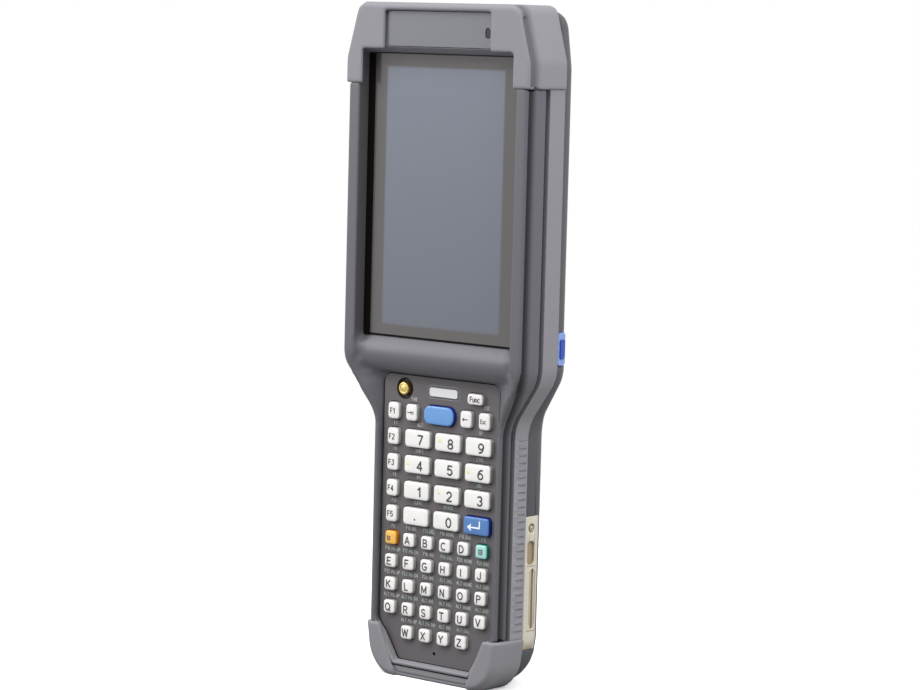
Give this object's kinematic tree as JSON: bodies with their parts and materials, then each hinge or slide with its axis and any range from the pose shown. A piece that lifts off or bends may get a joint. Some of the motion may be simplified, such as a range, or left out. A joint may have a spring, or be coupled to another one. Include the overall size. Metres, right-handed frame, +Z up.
{
  "type": "handheld barcode data terminal",
  "caption": "Rugged handheld barcode terminal with touch screen, full keypad, side scan buttons, rubber bumpers and a removable battery, standing on its foot.",
  "frame": {"origin": "middle of the footprint, on the surface the foot stands on", "axes": "+Z up the terminal to the scanner end, screen and keys face -Y, battery and back face +Y"},
  "size_m": [0.0816, 0.0304, 0.2273],
  "materials": {
    "housing_dark": "fine texture, satin",
    "housing_rear": "fine texture, matt",
    "seal_black": "matt",
    "rubber_grey": "soft, matt",
    "screen_glass": "polished",
    "display_black": "smooth",
    "plate_dark": "satin",
    "lens_dark": "gloss",
    "panel_grey": "matt",
    "window_white": "translucent",
    "silicone_grey": "matt",
    "board_green": "solder resist",
    "chassis_metal": "cast",
    "engine_black": "matt",
    "scan_lens": "polished",
    "contact_gold": "plated",
    "screw_steel": "blackened",
    "button_blue": "satin",
    "battery_pale": "satin",
    "latch_grey": "matt",
    "keycap_white": "satin",
    "keycap_gold": "satin",
    "keycap_blue": "satin",
    "keycap_orange": "satin",
    "keycap_green": "satin"
  },
  "bodies": {
    "terminal": {"front_housing": "housing_dark", "rear_housing": "housing_rear", "housing_seal": "seal_black", "top_bumper": "rubber_grey", "bottom_bumper": "rubber_grey", "side_band_right": "rubber_grey", "side_band_left": "rubber_grey", "touch_glass": "screen_glass", "display_gasket": "seal_black", "display_module": "display_black", "header_plate": "plate_dark", "led_lens": "lens_dark", "keypad_panel": "panel_grey", "status_window": "window_white", "keypad_mat": "silicone_grey", "keypad_board": "board_green", "chassis": "chassis_metal", "main_board": "board_green", "scan_engine": "engine_black", "scan_window": "scan_lens", "speaker": "engine_black", "battery_contacts": "contact_gold", "dock_connector": "engine_black", "housing_screws": "screw_steel"},
    "battery": {"battery_pack": "battery_pale", "battery_cover": "housing_rear"},
    "battery_latch": {"battery_latch": "latch_grey"},
    "side_button_right": {"side_button_right": "button_blue"},
    "side_button_left": {"side_button_left": "button_blue"},
    "key_power": {"key_power": "keycap_gold"},
    "key_scan": {"key_scan": "keycap_blue"},
    "key_enter": {"key_enter": "keycap_blue"},
    "key_function": {"key_function": "keycap_white"},
    "key_tab": {"key_tab": "keycap_white"},
    "key_backspace": {"key_backspace": "keycap_white"},
    "key_escape": {"key_escape": "keycap_white"},
    "key_orange": {"key_orange": "keycap_orange"},
    "key_green": {"key_green": "keycap_green"},
    "key_point": {"key_point": "keycap_white"},
    "key_f1": {"key_f1": "keycap_white"},
    "key_f2": {"key_f2": "keycap_white"},
    "key_f3": {"key_f3": "keycap_white"},
    "key_f4": {"key_f4": "keycap_white"},
    "key_f5": {"key_f5": "keycap_white"},
    "key_0": {"key_0": "keycap_white"},
    "key_1": {"key_1": "keycap_white"},
    "key_2": {"key_2": "keycap_white"},
    "key_3": {"key_3": "keycap_white"},
    "key_4": {"key_4": "keycap_white"},
    "key_5": {"key_5": "keycap_white"},
    "key_6": {"key_6": "keycap_white"},
    "key_7": {"key_7": "keycap_white"},
    "key_8": {"key_8": "keycap_white"},
    "key_9": {"key_9": "keycap_white"},
    "key_letters_a_to_d": {"key_letters_a_to_d": "keycap_white"},
    "key_letters_e_to_j": {"key_letters_e_to_j": "keycap_white"},
    "key_letters_k_to_p": {"key_letters_k_to_p": "keycap_white"},
    "key_letters_q_to_v": {"key_letters_q_to_v": "keycap_white"},
    "key_letters_w_to_z": {"key_letters_w_to_z": "keycap_white"}
  },
  "joints": [
    {"name": "battery_out", "type": "slide", "parent": "terminal", "child": "battery", "axis": [0, 1, 0], "range_m": [0, 0.014]},
    {"name": "battery_latch_up", "type": "slide", "parent": "terminal", "child": "battery_latch", "axis": [0, 0, 1], "range_m": [0, 0.003], "stiffness_N_per_m": 600, "springref_m": -0.001},
    {"name": "button_right_in", "type": "slide", "parent": "terminal", "child": "side_button_right", "axis": [-1, 0, 0], "range_m": [0, 0.0008], "stiffness_N_per_m": 2500, "springref_m": -0.0002},
    {"name": "button_left_in", "type": "slide", "parent": "terminal", "child": "side_button_left", "axis": [1, 0, 0], "range_m": [0, 0.0008], "stiffness_N_per_m": 2500, "springref_m": -0.0002},
    {"name": "key_power_press", "type": "slide", "parent": "terminal", "child": "key_power", "axis": [0, 1, 0], "range_m": [0, 0.0006], "stiffness_N_per_m": 2500, "springref_m": -0.0002},
    {"name": "key_scan_press", "type": "slide", "parent": "terminal", "child": "key_scan", "axis": [0, 1, 0], "range_m": [0, 0.0006], "stiffness_N_per_m": 2500, "springref_m": -0.0002},
    {"name": "key_enter_press", "type": "slide", "parent": "terminal", "child": "key_enter", "axis": [0, 1, 0], "range_m": [0, 0.0006], "stiffness_N_per_m": 2500, "springref_m": -0.0002},
    {"name": "key_function_press", "type": "slide", "parent": "terminal", "child": "key_function", "axis": [0, 1, 0], "range_m": [0, 0.0006], "stiffness_N_per_m": 2500, "springref_m": -0.0002},
    {"name": "key_tab_press", "type": "slide", "parent": "terminal", "child": "key_tab", "axis": [0, 1, 0], "range_m": [0, 0.0006], "stiffness_N_per_m": 2500, "springref_m": -0.0002},
    {"name": "key_backspace_press", "type": "slide", "parent": "terminal", "child": "key_backspace", "axis": [0, 1, 0], "range_m": [0, 0.0006], "stiffness_N_per_m": 2500, "springref_m": -0.0002},
    {"name": "key_escape_press", "type": "slide", "parent": "terminal", "child": "key_escape", "axis": [0, 1, 0], "range_m": [0, 0.0006], "stiffness_N_per_m": 2500, "springref_m": -0.0002},
    {"name": "key_orange_press", "type": "slide", "parent": "terminal", "child": "key_orange", "axis": [0, 1, 0], "range_m": [0, 0.0006], "stiffness_N_per_m": 2500, "springref_m": -0.0002},
    {"name": "key_green_press", "type": "slide", "parent": "terminal", "child": "key_green", "axis": [0, 1, 0], "range_m": [0, 0.0006], "stiffness_N_per_m": 2500, "springref_m": -0.0002},
    {"name": "key_point_press", "type": "slide", "parent": "terminal", "child": "key_point", "axis": [0, 1, 0], "range_m": [0, 0.0006], "stiffness_N_per_m": 2500, "springref_m": -0.0002},
    {"name": "key_f1_press", "type": "slide", "parent": "terminal", "child": "key_f1", "axis": [0, 1, 0], "range_m": [0, 0.0006], "stiffness_N_per_m": 2500, "springref_m": -0.0002},
    {"name": "key_f2_press", "type": "slide", "parent": "terminal", "child": "key_f2", "axis": [0, 1, 0], "range_m": [0, 0.0006], "stiffness_N_per_m": 2500, "springref_m": -0.0002},
    {"name": "key_f3_press", "type": "slide", "parent": "terminal", "child": "key_f3", "axis": [0, 1, 0], "range_m": [0, 0.0006], "stiffness_N_per_m": 2500, "springref_m": -0.0002},
    {"name": "key_f4_press", "type": "slide", "parent": "terminal", "child": "key_f4", "axis": [0, 1, 0], "range_m": [0, 0.0006], "stiffness_N_per_m": 2500, "springref_m": -0.0002},
    {"name": "key_f5_press", "type": "slide", "parent": "terminal", "child": "key_f5", "axis": [0, 1, 0], "range_m": [0, 0.0006], "stiffness_N_per_m": 2500, "springref_m": -0.0002},
    {"name": "key_0_press", "type": "slide", "parent": "terminal", "child": "key_0", "axis": [0, 1, 0], "range_m": [0, 0.0006], "stiffness_N_per_m": 2500, "springref_m": -0.0002},
    {"name": "key_1_press", "type": "slide", "parent": "terminal", "child": "key_1", "axis": [0, 1, 0], "range_m": [0, 0.0006], "stiffness_N_per_m": 2500, "springref_m": -0.0002},
    {"name": "key_2_press", "type": "slide", "parent": "terminal", "child": "key_2", "axis": [0, 1, 0], "range_m": [0, 0.0006], "stiffness_N_per_m": 2500, "springref_m": -0.0002},
    {"name": "key_3_press", "type": "slide", "parent": "terminal", "child": "key_3", "axis": [0, 1, 0], "range_m": [0, 0.0006], "stiffness_N_per_m": 2500, "springref_m": -0.0002},
    {"name": "key_4_press", "type": "slide", "parent": "terminal", "child": "key_4", "axis": [0, 1, 0], "range_m": [0, 0.0006], "stiffness_N_per_m": 2500, "springref_m": -0.0002},
    {"name": "key_5_press", "type": "slide", "parent": "terminal", "child": "key_5", "axis": [0, 1, 0], "range_m": [0, 0.0006], "stiffness_N_per_m": 2500, "springref_m": -0.0002},
    {"name": "key_6_press", "type": "slide", "parent": "terminal", "child": "key_6", "axis": [0, 1, 0], "range_m": [0, 0.0006], "stiffness_N_per_m": 2500, "springref_m": -0.0002},
    {"name": "key_7_press", "type": "slide", "parent": "terminal", "child": "key_7", "axis": [0, 1, 0], "range_m": [0, 0.0006], "stiffness_N_per_m": 2500, "springref_m": -0.0002},
    {"name": "key_8_press", "type": "slide", "parent": "terminal", "child": "key_8", "axis": [0, 1, 0], "range_m": [0, 0.0006], "stiffness_N_per_m": 2500, "springref_m": -0.0002},
    {"name": "key_9_press", "type": "slide", "parent": "terminal", "child": "key_9", "axis": [0, 1, 0], "range_m": [0, 0.0006], "stiffness_N_per_m": 2500, "springref_m": -0.0002},
    {"name": "key_letters_a_to_d_press", "type": "slide", "parent": "terminal", "child": "key_letters_a_to_d", "axis": [0, 1, 0], "range_m": [0, 0.0006], "stiffness_N_per_m": 2500, "springref_m": -0.0002},
    {"name": "key_letters_e_to_j_press", "type": "slide", "parent": "terminal", "child": "key_letters_e_to_j", "axis": [0, 1, 0], "range_m": [0, 0.0006], "stiffness_N_per_m": 2500, "springref_m": -0.0002},
    {"name": "key_letters_k_to_p_press", "type": "slide", "parent": "terminal", "child": "key_letters_k_to_p", "axis": [0, 1, 0], "range_m": [0, 0.0006], "stiffness_N_per_m": 2500, "springref_m": -0.0002},
    {"name": "key_letters_q_to_v_press", "type": "slide", "parent": "terminal", "child": "key_letters_q_to_v", "axis": [0, 1, 0], "range_m": [0, 0.0006], "stiffness_N_per_m": 2500, "springref_m": -0.0002},
    {"name": "key_letters_w_to_z_press", "type": "slide", "parent": "terminal", "child": "key_letters_w_to_z", "axis": [0, 1, 0], "range_m": [0, 0.0006], "stiffness_N_per_m": 2500, "springref_m": -0.0002}
  ]
}
